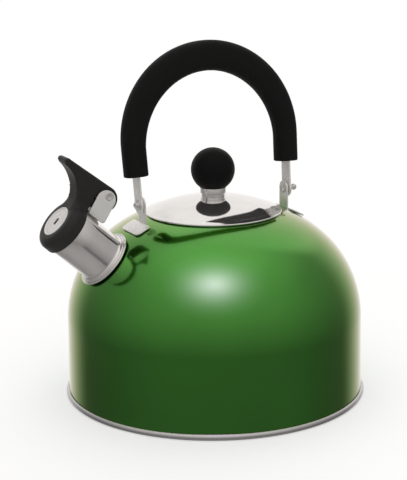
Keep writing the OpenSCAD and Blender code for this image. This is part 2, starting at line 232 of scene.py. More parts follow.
def bevel(thing, width, segments=2, angle=40):
    """Rounds off the sharp edges."""
    made = thing.modifiers.new("edges", "BEVEL")
    made.width = width * MM
    made.segments = segments
    made.limit_method = "ANGLE"
    made.angle_limit = math.radians(angle)
    return apply_modifiers(thing)


def cut(thing, *cutters):
    """Takes the cutters' shapes out of a piece."""
    for cutter in cutters:
        made = thing.modifiers.new("cut", "BOOLEAN")
        made.operation = "DIFFERENCE"
        made.solver = "MANIFOLD"
        made.object = cutter
        apply_modifiers(thing)
        bpy.data.objects.remove(cutter)
    return thing


def finished(thing, body, slot, materials, *nodes, smooth=35):
    """Gives a piece its materials and its body, and hides the CAD nodes that it stands for."""
    thing.data.materials.clear()
    for m in materials:
        thing.data.materials.append(m)
    thing.data.polygons.foreach_set("use_smooth", [True] * len(thing.data.polygons))
    thing.data.set_sharp_from_angle(angle=math.radians(smooth))
    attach(thing, body)
    if nodes:
        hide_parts(*nodes)
    return thing


def revolved(name, outline, place=upright, steps=192, slots=None):
    """A closed outline of (radius, height) turned round its axis. slots gives each side a material."""
    points = []
    rings = []
    for r, z in outline:
        if r < 1e-6:
            rings.append([len(points)] * steps)
            points.append(place((0, 0, z)))
        else:
            rings.append(list(range(len(points), len(points) + steps)))
            points += [
                place((r * math.cos(2 * math.pi * k / steps), r * math.sin(2 * math.pi * k / steps), z))
                for k in range(steps)
            ]
    faces = []
    face_slots = []
    for i, ring in enumerate(rings):
        other = rings[(i + 1) % len(rings)]
        if ring[0] == ring[-1] and other[0] == other[-1]:
            continue
        for k in range(steps):
            n = (k + 1) % steps
            faces.append(list(dict.fromkeys((ring[k], ring[n], other[n], other[k]))))
            face_slots.append(slots[i] if slots else 0)
    return mesh_object(name, points, faces, face_slots)


def lofted(name, rows):
    """A closed solid through a row of closed outlines with the same number of points."""
    count = len(rows[0])
    points = [p for row in rows for p in row]
    faces = [list(range(count))[::-1], list(range((len(rows) - 1) * count, len(rows) * count))]
    for i in range(len(rows) - 1):
        for k in range(count):
            n = (k + 1) % count
            faces.append([i * count + k, i * count + n, (i + 1) * count + n, (i + 1) * count + k])
    return mesh_object(name, points, faces)


def plate(name, outline, place, thickness):
    """A flat outline given a thickness, from its place's zero height upwards."""
    return lofted(name, [[place((x, y, h)) for x, y in outline] for h in (0, thickness)])


def bent_strip(name, stations, thickness, columns=12):
    """A metal strip: each station is (point, side, normal, low edge, high edge) along its middle."""
    rows = []
    for at, side, normal, edge_low, edge_high in stations:
        row = []
        for face, order in ((0.5, range(columns + 1)), (-0.5, range(columns, -1, -1))):
            for k in order:
                across = edge_low + (edge_high - edge_low) * k / columns
                row.append(at + side * across + normal * thickness * face)
        rows.append(row)
    return lofted(name, rows)


# ---------- materials ----------

class Nodes:
    """A material's node tree, with a short way to add and join nodes."""

    def __init__(self, name):
        self.material = bpy.data.materials.new(name)
        self.material.use_nodes = True
        self.tree = self.material.node_tree
        self.shader = next(n for n in self.tree.nodes if n.type == "BSDF_PRINCIPLED")

    def add(self, kind, **values):
        node = self.tree.nodes.new(kind)
        for key, value in values.items():
            setattr(node, key, value)
        return node

    def set(self, **values):
        for key, value in values.items():
            self.shader.inputs[key.replace("_", " ").capitalize()].default_value = value

    def link(self, source, target):
        self.tree.links.new(source, target)

    def noise(self, scale, detail=3.0, stretch=(1, 1, 1)):
        coordinates = self.add("ShaderNodeTexCoord")
        mapping = self.add("ShaderNodeMapping")
        mapping.inputs["Scale"].default_value = stretch
        noise = self.add("ShaderNodeTexNoise")
        noise.inputs["Scale"].default_value = scale
        noise.inputs["Detail"].default_value = detail
        noise.inputs["Roughness"].default_value = 0.55
        self.link(coordinates.outputs["Object"], mapping.inputs["Vector"])
        self.link(mapping.outputs["Vector"], noise.inputs["Vector"])
        return noise.outputs["Fac"]

    def rings(self, scale, centre=(0, 0, 0), turn=(0, 0, 0)):
        """Fine marks that run in circles round an axis through centre."""
        coordinates = self.add("ShaderNodeTexCoord")
        shift = self.add("ShaderNodeVectorMath", operation="SUBTRACT")
        shift.inputs[1].default_value = centre
        rotate = self.add("ShaderNodeVectorRotate", rotation_type="EULER_XYZ")
        rotate.inputs["Rotation"].default_value = turn
        flat = self.add("ShaderNodeVectorMath", operation="MULTIPLY")
        flat.inputs[1].default_value = (1, 1, 0)
        length = self.add("ShaderNodeVectorMath", operation="LENGTH")
        self.link(coordinates.outputs["Object"], shift.inputs[0])
        self.link(shift.outputs[0], rotate.inputs["Vector"])
        self.link(rotate.outputs["Vector"], flat.inputs[0])
        self.link(flat.outputs[0], length.inputs[0])
        noise = self.add("ShaderNodeTexNoise", noise_dimensions="4D")
        noise.inputs["Scale"].default_value = 1.0
        noise.inputs["Detail"].default_value = 4.0
        soft = self.add("ShaderNodeVectorMath", operation="SCALE")
        soft.inputs["Scale"].default_value = 12
        times = self.add("ShaderNodeMath", operation="MULTIPLY")
        times.inputs[1].default_value = scale
        self.link(rotate.outputs["Vector"], soft.inputs[0])
        self.link(soft.outputs[0], noise.inputs["Vector"])
        self.link(length.outputs["Value"], times.inputs[0])
        self.link(times.outputs[0], noise.inputs["W"])
        return noise.outputs["Fac"]

    def spread(self, value, out_low, out_high):
        """Maps a noise value to a range."""
        mapped = self.add("ShaderNodeMapRange")
        mapped.inputs["From Min"].default_value = 0.3
        mapped.inputs["From Max"].default_value = 0.7
        mapped.inputs["To Min"].default_value = out_low
        mapped.inputs["To Max"].default_value = out_high
        self.link(value, mapped.inputs["Value"])
        return mapped.outputs["Result"]

    def colours(self, value, dark, light):
        """Maps a noise value to colours between dark and light."""
        ramp = self.add("ShaderNodeValToRGB")
        ramp.color_ramp.elements[0].position = 0.3
        ramp.color_ramp.elements[0].color = (*dark, 1)
        ramp.color_ramp.elements[1].position = 0.7
        ramp.color_ramp.elements[1].color = (*light, 1)
        self.link(value, ramp.inputs["Fac"])
        return ramp.outputs["Color"]

    def bump(self, value, depth, strength, target="Normal"):
        """Raises the surface by a noise value, with its depth in millimetres."""
        bumped = self.add("ShaderNodeBump")
        bumped.inputs["Strength"].default_value = strength
        bumped.inputs["Distance"].default_value = depth * MM
        self.link(value, bumped.inputs["Height"])
        self.link(bumped.outputs["Normal"], self.shader.inputs[target])


def shade(colour, factor):
    return tuple(c * factor for c in colour)


def green_lacquer():
    """Clear green lacquer over bright steel: a tinted metal under a smooth clear coat."""
    m = Nodes("green_lacquer")
    base = (0.062, 0.335, 0.024)
    m.set(metallic=1.0)
    m.shader.inputs["Specular Tint"].default_value = (1.0, 0.74, 0.56, 1)
    m.shader.inputs["Coat Weight"].default_value = 1.0
    m.shader.inputs["Coat Roughness"].default_value = 0.03
    thick = m.noise(16, 2)
    m.link(m.colours(thick, shade(base, 0.93), shade(base, 1.05)), m.shader.inputs["Base Color"])
    m.link(m.spread(m.noise(45, 4), 0.15, 0.19), m.shader.inputs["Roughness"])
    m.bump(m.noise(420, 2), 0.012, 0.35)
    m.bump(m.noise(300, 1.5), 0.006, 0.3, target="Coat Normal")
    return m.material


def steel(name, colour, rough, grain=None, depth=0.004, strength=0.4, haze=0.0):
    """Bare steel: grain is a noise or rings value made on the same nodes, and haze is its dull share."""
    m = Nodes(name)
    m.set(metallic=1.0 - haze)
    marks = grain(m) if grain else m.noise(900, 3)
    cloud = m.noise(60, 3)
    m.link(m.colours(cloud, shade(colour, 0.94), shade(colour, 1.03)), m.shader.inputs["Base Color"])
    m.link(m.spread(marks, rough * 0.75, rough * 1.35), m.shader.inputs["Roughness"])
    m.bump(marks, depth, strength)
    return m.material


def plastic(name, colour, rough, gloss, grain, depth, sheen=0.0):
    """Plastic or rubber with a fine moulded grain."""
    m = Nodes(name)
    m.shader.inputs["Specular IOR Level"].default_value = gloss
    m.shader.inputs["Sheen Weight"].default_value = sheen
    m.shader.inputs["Sheen Roughness"].default_value = 0.45
    speckle = m.colours(m.noise(grain, 2), shade(colour, 0.8), shade(colour, 1.25))
    m.link(speckle, m.shader.inputs["Base Color"])
    m.link(m.spread(m.noise(90, 3), rough * 0.92, min(1.0, rough * 1.1)), m.shader.inputs["Roughness"])
    m.bump(m.noise(grain, 2.5), depth, 0.5)
    return m.material


spout_turn = (0, math.pi / 2 - tilt, 0)
LACQUER = green_lacquer()
POLISHED = steel("polished_steel", (0.86, 0.835, 0.815), 0.06, lambda m: m.rings(2600), 0.0012, 0.25, 0.06)
SPOUT = steel(
    "spout_steel", (0.90, 0.87, 0.85), 0.10,
    lambda m: m.rings(1800, spout_at * MM, spout_turn), 0.0015, 0.25, 0.10)
HINGE = steel(
    "hinge_steel", (0.97, 0.945, 0.925), 0.20,
    lambda m: m.noise(700, 4, (1, 1, 0.3)), 0.002, 0.3, 0.55)
COLLAR = steel(
    "collar_steel", (0.90, 0.88, 0.86), 0.10,
    lambda m: m.noise(1200, 3, (0.2, 0.2, 4)), 0.002, 0.3, 0.2)
STRAP = steel(
    "strap_steel", (0.97, 0.94, 0.92), 0.22,
    lambda m: m.noise(900, 4, (1, 3, 0.1)), 0.002, 0.4, 0.55)
SATIN = steel("satin_steel", (0.66, 0.65, 0.64), 0.30, lambda m: m.rings(1500), 0.006, 0.4)
BARE = steel("bare_steel", (0.60, 0.59, 0.58), 0.36, lambda m: m.noise(500, 4, (1, 1, 0.3)), 0.006, 0.4)
FASTENER = steel("fastener_steel", (0.80, 0.78, 0.76), 0.20, None, 0.003, 0.3, 0.35)
BRASS = steel("brass", (0.72, 0.52, 0.20), 0.28, lambda m: m.noise(1200, 3, (1, 1, 6)), 0.004, 0.4)
GRIP = plastic("black_grip", (0.0085, 0.0082, 0.008), 0.62, 0.10, 1900, 0.05, 0.02)
KNOB = plastic("black_knob", (0.006, 0.0055, 0.0055), 0.50, 0.10, 2600, 0.02, 0.02)
CAP = plastic("black_cap", (0.020, 0.0185, 0.018), 0.42, 0.30, 2200, 0.03, 0.03)
DISC = steel(
    "disc_steel", (0.92, 0.90, 0.88), 0.30,
    lambda m: m.rings(1500, (spout_at + along * cap_face) * MM, spout_turn), 0.004, 0.4, 0.5)
# Black for the seal ring under the spout's flange: painted shade, a dark ring set where the gap under the
# flange is only in shade.
SEAL_PAINTED_SHADE = plastic("black_silicone", (0.012, 0.012, 0.012), 0.55, 0.25, 1500, 0.02)
CLEAR = plastic("clear_silicone", (0.70, 0.70, 0.68), 0.45, 0.35, 800, 0.02)


# ---------- body ----------

def kettle_body():
    """One pressing: wall, shoulder, crown and the neck turned down inside, with the spout's hole."""
    neck_angle = math.acos((neck_out_r - crown_cx) / crown_r)
    lip = 0.9
    outside = [(wall_low_r, 2.4), (wall_low_r - 0.05, 6), (wall_top_r + 0.3, 26), (wall_top_r + 0.05, 44)]
    outside += arc(shoulder_cx, wall_h, shoulder_r, 0, shoulder_turn, 52)
    end = neck_angle - 0.9 * lip / crown_r
    outside += arc(crown_cx, crown_cz, crown_r, shoulder_turn, end, 30)[1:]
    top = outside[-1]
    outside += [(neck_out_r - 0.35, top[1] - 0.05), (neck_in_r + 0.12, top[1] - 0.3)]
    outside += [(neck_in_r, top[1] - 0.8)]
    inside = [(neck_in_r, neck_low_z), (neck_out_r, neck_low_z), (neck_out_r, top[1] - 1.3)]
    inner_end = neck_angle - 2.2 * lip / crown_r
    inside += arc(crown_cx, crown_cz, crown_r - sheet_t, inner_end, shoulder_turn, 24)
    inside += arc(shoulder_cx, wall_h, shoulder_r - sheet_t, shoulder_turn, 0, 30)[1:]
    inside += [(wall_low_r - sheet_t, 2.4)]
    slots = [0] * len(outside) + [1] * len(inside)
    shell = revolved("kettle_body", outside + inside, steps=320, slots=slots)
    hole = revolved(
        "hole", [(0, -14), (tube_r + 0.05, -14), (tube_r + 0.05, 8), (0, 8)], in_spout, 96)
    cut(shell, hole)
    return finished(
        shell, "kettle", "green_lacquer", [LACQUER, BARE],
        "body_wall", "body_shoulder", "body_crown", "neck_ring")


def kettle_base():
    """The bare steel bottom, with rings pressed into it and a rolled rim."""
    step_r = 0.86 * bead_cx
    groove = 0.35
    outline = [(0, groove), (3, groove), (3.6, 0)]
    for r in (30, 33, 56, 59):
        outline += [(r - 0.8, 0), (r - 0.3, groove), (r + 0.3, groove), (r + 0.8, 0)]
    outline += [(step_r - 0.8, 0), (step_r - 0.2, 0.15), (step_r + 1.6, 0.9), (step_r + 2.4, 1.05)]
    outline += [(bead_cx - 1.9, 1.05)]
    outline += arc(bead_cx, bead_r, bead_r, math.radians(205), math.radians(438), 30)
    outline += [(bead_cx + 0.38, 3.3), (bead_cx - 0.6, 3.3)]
    outline += arc(bead_cx, bead_r, bead_r, math.radians(112), math.radians(165), 6)
    outline += [(bead_cx - 2.4, 1.65), (step_r + 1.7, 1.65), (step_r - 0.3, 0.6), (0, 0.6)]
    return finished(
        revolved("kettle_base", outline, steps=256), "kettle", "satin_steel", [SATIN], "base_pan", smooth=50)


# ---------- lid ----------

def lid():
    """The polished dome with its hemmed edge."""
    edge = math.asin((lid_r - hem_r) / lid_dome_r)
    outer = [
        (lid_dome_r * math.sin(edge * k / 40), lid_dome_z + lid_dome_r * math.cos(edge * k / 40))
        for k in range(2, 39)
    ]
    hem = arc(lid_r - hem_r, hem_z, hem_r, math.radians(78), math.radians(-190), 14)
    inward = (lid_dome_r - lid_t) / lid_dome_r
    inner = [(r * inward, lid_dome_z + (z - lid_dome_z) * inward) for r, z in outer[::-1]]
    return finished(
        revolved("lid_dome", outer + hem + inner, steps=256), "lid", "polished_steel", [POLISHED],
        "lid_cover", smooth=50)


def knob_ball():
    """The black ball, bored from below for its insert."""
    bore = 4.03
    start = math.asin(bore / ball_r)
    ball = [(0, ball_z + ball_r)]
    ball += [
        (ball_r * math.sin(a), ball_z + ball_r * math.cos(a))
        for a in [k * (math.pi - start) / 72 for k in range(1, 73)]
    ]
    ball += [(bore, insert_top_z + 0.02), (0, insert_top_z + 0.02)]
    finished(
        revolved("knob_black_ball", ball, steps=128), "lid", "black_knob", [KNOB],
        "knob_ball", smooth=60)


def knob_collar():
    """The stepped steel collar: a narrow foot on the lid, and a cup under the ball."""
    step_z = lid_top_z + 2.0
    foot_r = ferrule_r - 0.8
    seat = lid_dome_z + math.sqrt(lid_dome_r ** 2 - foot_r ** 2)
    cup = ball_z - math.sqrt(ball_r ** 2 - (ferrule_r - 0.25) ** 2)
    outline = [(screw_r + 0.1, lid_top_z + 0.02), (foot_r - 0.3, seat + 0.04), (foot_r, seat + 0.3)]
    outline += [(foot_r, step_z - 0.5), (foot_r - 0.3, step_z - 0.3), (foot_r - 0.3, step_z)]
    outline += [(ferrule_r - 0.2, step_z), (ferrule_r, step_z + 0.2), (ferrule_r, cup - 0.3)]
    outline += [(ferrule_r - 0.08, cup - 0.05), (ferrule_r - 0.25, cup)]
    outline += [
        (r, ball_z - math.sqrt((ball_r + 0.03) ** 2 - r * r)) for r in (6.8, 5.4, 4.0, screw_r + 0.1)
    ]
    finished(
        revolved("knob_collar", outline, steps=128), "lid", "spout_steel", [COLLAR],
        "knob_ferrule", smooth=28)


# ---------- handle ----------

def superellipse(a, b, steps):
    """An oval with slightly squared sides."""
    points = []
    for k in range(steps):
        c = math.cos(2 * math.pi * k / steps)
        s = math.sin(2 * math.pi * k / steps)
        points.append((a * math.copysign(abs(c) ** 0.8, c), b * math.copysign(abs(s) ** 0.8, s)))
    return points


def strap_middle(travel):
    """Middle of the strap at a distance along it from a pivot, as (x, height, outward direction)."""
    if travel > strap_l / 2:
        x, h, (dx, dh) = strap_middle(strap_l - travel)
        return -x, h, (-dx, dh)
    if travel <= strap_leg:
        lean_in = (arch_r - pivot_x) / strap_leg
        return (
            pivot_x + lean_in * travel, travel * leg_h / strap_leg, (leg_h / strap_leg, -lean_in))
    angle = (travel - strap_leg) / arch_r
    return arch_r * math.cos(angle), leg_h + arch_r * math.sin(angle), (math.cos(angle), math.sin(angle))


def handle_grip():
    """The moulded grip round the strap, thickest at the top, with a shallow recess at each end."""
    def section(travel, full):
        x, h, (dx, dh) = strap_middle(travel)
        share = 0.0
        if strap_leg < travel < strap_l - strap_leg:
            share = max(0.0, math.sin((travel - strap_leg) / arch_r))
        a = (grip_end[0] + (grip_top[0] - grip_end[0]) * share) / 2 * full
        b = (grip_end[1] + (grip_top[1] - grip_end[1]) * share) / 2 * full
        return [in_handle((x + dx * p, q, h + dh * p)) for p, q in superellipse(a, b, 56)]

    ends = [(0.30, 0.30), (0.30, 0.78), (0.05, 0.84), (0.0, 0.89), (0.10, 0.945), (0.4, 0.98), (1.0, 1.0)]
    rows = [section(grip_start + d, full) for d, full in ends]
    count = 150
    first = grip_start + 3
    rows += [section(first + (strap_l - 2 * first) * k / count, 1.0) for k in range(count + 1)]
    rows += [section(strap_l - grip_start - d, full) for d, full in ends[::-1]]
    finished(lofted("handle_grip_cover", rows), "handle", "black_grip", [GRIP], "handle_grip", smooth=50)


def handle_strip():
    """The steel strap, whose ends are rounded eyes with a bore for the rivets."""
    stations = []
    heights = [-eye_r * math.cos(math.pi / 2 * k / 14) for k in range(14)]
    heights += [eye_r * k / 12 for k in range(0, 10)] + [6.5, 10, 14]
    heights += [18 + (strap_l / 2 - 18) * k / 50 for k in range(51)]
    for travel in heights + [strap_l - h for h in heights[-2::-1]]:
        near = min(travel, strap_l - travel)
        half = strap_w / 2
        if near < 0:
            half = max(0.25, math.sqrt(max(0.0, eye_r ** 2 - near ** 2)))
        elif near < eye_r:
            half = max(half, math.sqrt(eye_r ** 2 - near ** 2))
        x, h, (dx, dh) = strap_middle(travel)
        stations.append((
            in_handle((x, 0, h)), Vector((0, math.cos(lean), -math.sin(lean))),
            in_handle((dx, 0, dh)) - in_handle((0, 0, 0)), -half, half))
    strip = bent_strip("handle_strip", stations, strap_t, 8)
    bore = revolved("bore", [(0, -60), (2.05, -60), (2.05, 60), (0, 60)], on_pivot(1), 48)
    cut(strip, bore)
    bevel(strip, 0.18, 2, 50)
    finished(strip, "handle", "strap_steel", [STRAP], "handle_strap")


def bracket(side, node):
    """A T-shaped bracket: a foot on the dome, and a tab that stands up to the pivot."""
    foot_at = pivot_x + 2.5
    reach = foot_at + side * pivot.x
    slope = math.asin((reach - crown_cx) / crown_r)
    foot_z = crown_cz + crown_r * math.cos(slope) + 0.02

    def place(p):
        return Vector((pivot.x + side * p[0], p[1], p[2]))

    def on_foot(p):
        x = foot_at + p[0] * math.cos(slope) + p[2] * math.sin(slope)
        return place((x, p[1], foot_z - p[0] * math.sin(slope) + p[2] * math.cos(slope)))

    wide, deep = foot_size
    inner = -5.2
    outer = inner + deep
    side_y = wide / 2
    corners = [(inner, -side_y, 1.2), (outer, -side_y, 3.4), (outer, side_y, 3.4), (inner, side_y, 1.2)]
    outline = rounded(corners, 8)
    foot = plate("foot", outline, on_foot, 1.0)
    bevel(foot, 0.28, 3, 50)
    tab_x = tab_out - tab_t / 2
    bend = 1.7
    stations = []
    up = [tab_eye_r * math.cos(math.pi / 2 * k / 12) for k in range(12)] + [0, -2, -4, -6]
    for h in up:
        half = max(0.3, math.sqrt(tab_eye_r ** 2 - h * h)) if h > 0 else strap_w / 2
        centre = place((tab_x, 0, pivot.z + h))
        stations.append((centre, Vector((0, 1, 0)), Vector((side, 0, 0)), -half, half))
    turn = math.pi / 2 - slope
    centre_x = tab_x + bend
    low_z = foot_z - (centre_x + bend * math.sin(slope) - foot_at) * math.tan(slope) + 0.5 / math.cos(slope)
    centre_z = low_z + bend * math.cos(slope) - 0.02
    for k in range(9):
        a = turn * k / 8
        normal = Vector((side * math.cos(a), 0, math.sin(a)))
        at = place((centre_x - bend * math.cos(a), 0, centre_z - bend * math.sin(a)))
        half = strap_w / 2 + 1.2 * (k / 8) ** 2
        stations.append((at, Vector((0, 1, 0)), normal, -half, half))
    run = Vector((side * math.cos(slope), 0, -math.sin(slope)))
    last = stations[-1]
    stations.append((last[0] + run * 2.5, last[1], last[2], last[3] - 0.8, last[4] + 0.8))
    tab = bent_strip("tab", stations, 1.0, 8)
    bore = revolved("bore", [(0, 45), (2.02, 45), (2.02, 60), (0, 60)], on_pivot(side), 48)
    cut(tab, bore)
    bevel(tab, 0.18, 2, 50)
    joined = bmesh.new()
    joined.from_mesh(foot.data)
    joined.from_mesh(tab.data)
    joined.to_mesh(foot.data)
    joined.free()
    bpy.data.objects.remove(tab)
    foot.name = "handle_" + node
    return finished(foot, "kettle", "strap_steel", [STRAP], node)


def pivot_rivet(side, node):
    """A peened rivet with a round head that has a small dimple."""
    near_x = low(node).x if side > 0 else high(node).x
    far_x = high(node).x if side > 0 else low(node).x
    tail = abs(near_x - pivot.x)
    seat = pivot_x + strap_t / 2 + 0.52
    end = abs(far_x - pivot.x)
    outline = [(0, tail + 0.25), (1.0, tail + 0.2), (1.3, tail), (2.6, tail), (3.0, tail + 0.3)]
    outline += [(3.0, tail + 0.9), (2.0, tail + 0.9), (2.0, seat)]
    if end - seat < 3:
        outline += arc(0, seat, 2.6, 0, math.radians(62), 12)
        outline += [(0.85, seat + 2.15), (0.0, seat + 1.95)]
    else:
        outline += [(2.7, seat), (2.6, seat + 0.45), (1.4, seat + 0.7), (1.3, end - 3.9)]
        outline += arc(0, end - 2.2, 2.2, math.radians(-50), math.radians(75), 16) + [(0, end - 0.15)]
    return finished(
        revolved(node + "_head", outline, on_pivot(side), 64), "kettle", "fastener_steel", [FASTENER], node)


# ---------- spout ----------

def spout():
    """The drawn tube, with a rolled flange that is grooved where it meets the tube."""
    bore = tube_r - 0.65
    lip = -0.75
    outline = [(bore, -tube_root), (tube_r, -tube_root), (tube_r, 0), (tube_r + 1.6, 0)]
    outline += [(flange_r - 0.6, lip)]
    outline += arc(flange_r - 0.5, lip + 0.5, 0.5, -math.pi / 2, math.radians(100), 10)
    outline += [(flange_r - 0.95, lip + 0.75), (flange_r - 1.2, lip + 0.7)]
    outline += arc(tube_r + 1.45, 0.6, 0.75, math.radians(-50), math.radians(110), 10)
    outline += [(tube_r + 1.05, 1.15)]
    outline += arc(tube_r + 1.9, 3.2, 1.85, math.radians(-118), math.radians(-180), 10)
    outline += [(tube_r, 6), (tube_r, 14), (tube_r, 22), (tube_r, tube_l - 0.25)]
    outline += [(tube_r - 0.12, tube_l - 0.04), (tube_r - 0.32, tube_l)]
    outline += [(bore + 0.1, tube_l - 0.05), (bore, tube_l - 0.25)]
    return finished(
        revolved("spout_pipe", outline, in_spout, 192), "kettle", "spout_steel", [SPOUT],
        "spout_tube", smooth=40)


def hinge_channel():
    """A folded channel: two round-topped ears joined by a web on the spout."""
    top = (pin_along + 0.1, pin_out - 3.2, 6.5)
    web = tube_r + 0.1
    mid_y = ear_y + ear_t / 2
    bend = 1.3

    def edges(w):
        front = 31.6 + (w - web) * 0.178
        back = 18.7 + (w - web) * 0.166
        if w > top[1] - 0.6:
            front = top[0] + math.sqrt(max(0.0, top[2] ** 2 - (w - top[1]) ** 2))
        if w > top[1]:
            back = top[0] - math.sqrt(max(0.0, top[2] ** 2 - (w - top[1]) ** 2))
        return back, front

    def station(y, w, normal, inset=0.0):
        back, front = edges(w)
        return (in_spout((w, y, 0)), along, Vector(normal), back + inset, front - inset)

    half = []
    for k in range(1, 15):
        w = top[1] + top[2] * math.cos(math.pi / 2 * k / 14)
        half.append(station(mid_y, w, (0, 1, 0)))
    low_w = web + ear_t / 2
    half += [station(mid_y, w, (0, 1, 0)) for w in (26, 22.5, 20, low_w + bend)]
    for k in range(1, 8):
        a = math.pi / 2 * k / 7
        n = Vector((0, math.cos(a), 0)) - outward * math.sin(a)
        half.append(station(
            mid_y - bend + bend * math.cos(a), low_w + bend - bend * math.sin(a), n, 0.9 * math.sin(a) ** 2))
    half += [station(y, low_w, -outward, 0.9) for y in (4, 1)]
    mirrored = [
        (Vector((p.x, -p.y, p.z)), s, Vector((n.x, -n.y, n.z)), a, b) for p, s, n, a, b in half[::-1]]
    strip = bent_strip("hinge_channel", half + mirrored, ear_t, 10)
    bore = revolved("bore", [(0, -12), (pin_r + 0.03, -12), (pin_r + 0.03, 12), (0, 12)], on_pin, 48)
    cut(strip, bore)
    bevel(strip, 0.16, 2, 50)
    return finished(strip, "kettle", "spout_steel", [HINGE], "hinge_bracket")


def hinge_pin():
    """The pin, peened over outside each ear."""
    end = ear_y + ear_t
    side = [(pin_r, end), (2.75, end + 0.02), (2.75, end + 0.22), (2.5, end + 0.42), (2.0, end + 0.46)]
    side += [(1.7, end + 0.3), (0.9, end + 0.12)]
    outline = [(0, -end - 0.1)] + [(r, -z) for r, z in side[::-1]] + side + [(0, end + 0.1)]
    finished(
        revolved("hinge_pin_rivet", outline, on_pin, 64), "kettle", "fastener_steel", [FASTENER],
        "hinge_pin")


def hinge_spring():
    """The torsion spring: a straight leg, a coil round the pin and a second leg."""
    wire = 0.4
    coil = 2.7
    start_y = -(lever_w / 2 - 0.3)
    sweep = math.radians(2 * 360 + 249)
    rise = 2.1 * wire / (2 * math.pi)
    path = [Vector((coil, -14.2 + 0.6 * k, start_y)) for k in range(20)]
    path += [Vector((coil, -2.4 + 0.6 * k, start_y)) for k in range(4)]
    turns = 110
    for k in range(1, turns + 1):
        a = sweep * k / turns
        path.append(Vector((coil * math.cos(a), coil * math.sin(a), start_y + rise * a)))
    path += [path[-1].lerp(Vector((6.2, -5.2, start_y + rise * sweep)), k / 8) for k in range(1, 9)]
    rows = []
    for i, p in enumerate(path):
        d = (path[min(i + 1, len(path) - 1)] - path[max(i - 1, 0)]).normalized()
        u = d.cross(Vector((0, 0, 1))).normalized()
        v = d.cross(u)
        ring = [2 * math.pi * k / 12 for k in range(12)]
        rows.append([on_pin(p + wire * (math.cos(a) * u + math.sin(a) * v)) for a in ring])
    finished(
        lofted("hinge_spring_wire", rows), "kettle", "fastener_steel", [FASTENER], "hinge_spring", smooth=60)


# ---------- whistle cap ----------

def soft_min(a, b, k):
    """The smaller of two distances, blended over a width of k."""
    h = np.clip(0.5 + 0.5 * (b - a) / k, 0, 1)
    return b * (1 - h) + a * h - k * h * (1 - h)


def soft_max(a, b, k):
    return -soft_min(-a, -b, k)


def polygon_distance(x, y, corners):
    """Signed distance from points to a polygon, negative inside."""
    best = np.full(x.shape, 1e9)
    inside = np.zeros(x.shape, bool)
    for (ax, ay), (bx, by) in zip(corners, corners[1:] + corners[:1]):
        ex, ey = bx - ax, by - ay
        share = np.clip(((x - ax) * ex + (y - ay) * ey) / (ex * ex + ey * ey), 0, 1)
        best = np.minimum(best, np.hypot(x - ax - share * ex, y - ay - share * ey))
        crosses = (ay > y) != (by > y)
        with np.errstate(divide="ignore", invalid="ignore"):
            inside ^= crosses & (x < ax + (y - ay) * ex / np.where(ey == 0, 1e-9, ey))
    return np.where(inside, -best, best)


def cap_distance(p):
    """Signed distance to the outside of the cap and its lever, for points (out, across, along)."""
    w, y, t = p[:, 0], p[:, 1], p[:, 2]
    middle = (cap_rear + cap_face) / 2
    half = (cap_face - cap_rear) / 2
    corner = np.where(t > middle, 5.0, 0.5)
    qx = np.hypot(w, y) - cap_r + corner
    qy = np.abs(t - middle) - half + corner
    drum = np.minimum(np.maximum(qx, qy), 0) + np.hypot(np.maximum(qx, 0), np.maximum(qy, 0)) - corner

    heel, heel_r = (pin_along - 0.3, pin_out - 2.8), 8.4
    tip, tip_r = (62.8, 32.8), 1.9
    lift = (math.cos(math.radians(85)), math.sin(math.radians(85)))
    corners = [
        (tip[0] + tip_r * lift[0], tip[1] + tip_r * lift[1]),
        (heel[0] + heel_r * lift[0], heel[1] + heel_r * lift[1]),
        heel, (31.8, 22), (31.8, 12), (tip[0], 12), (tip[0], tip[1])]
    blade = polygon_distance(t, w, corners)
    share = np.clip((y + lever_w / 2) / lever_w, 0, 1)
    thumb_t = 61.4 + 3.0 * share
    thumb_w = 10.0 - 2.5 * share
    thumb_r = 20.1 + 3.1 * share
    blade = soft_max(blade, thumb_r - np.hypot(t - thumb_t, w - thumb_w), 0.6)
    blade = soft_min(blade, np.hypot(t - tip[0], w - tip[1]) - tip_r, 0.5)
    blade = np.minimum(blade, np.hypot(t - heel[0], w - heel[1]) - heel_r)
    edge = 1.4
    a = blade + edge
    b = np.abs(y) - lever_w / 2 + edge
    lever = np.minimum(np.maximum(a, b), 0) + np.hypot(np.maximum(a, 0), np.maximum(b, 0)) - edge
    whole = soft_min(drum, lever, 3.2)
    beside_ears = np.maximum(np.maximum(16.8 - w, t - 34.3), 7.45 - np.abs(y))
    return np.maximum(whole, -beside_ears)


def prism(name, outline, place, start, end):
    """A flat outline drawn out from start to end along its place's third axis."""
    return lofted(name, [[place((x, y, z)) for x, y in outline] for z in (start, end)])


def sector(radius, start, end):
    """A pie slice, with the angles in degrees."""
    return [(0, 0)] + arc(0, 0, radius, math.radians(start), math.radians(end), 16)


def cap_blank():
    """A drum and a lever joined roughly, and cut up into small even faces."""
    outline = [(0, cap_rear), (cap_r, cap_rear), (cap_r, cap_face - 3), (cap_r - 3, cap_face)]
    outline += [(0, cap_face)]
    drum = revolved("drum", outline, in_spout, 96)
    blade = [
        (26.9, 21), (31.8, 21), (31.8, 14), (40, 14), (42, 22), (46, 27), (54, 30), (64, 31), (64.5, 34),
        (60, 35), (36, 37.6), (26, 37.6), (19, 33), (18.6, 27)]
    lever = prism("lever", blade, lambda p: in_spout((p[1], p[2], p[0])), -lever_w / 2, lever_w / 2)
    join = drum.modifiers.new("join", "BOOLEAN")
    join.operation = "UNION"
    join.solver = "MANIFOLD"
    join.object = lever
    apply_modifiers(drum)
    bpy.data.objects.remove(lever)
    even = drum.modifiers.new("even", "REMESH")
    even.mode = "VOXEL"
    even.voxel_size = 0.5 * MM
    return apply_modifiers(drum)


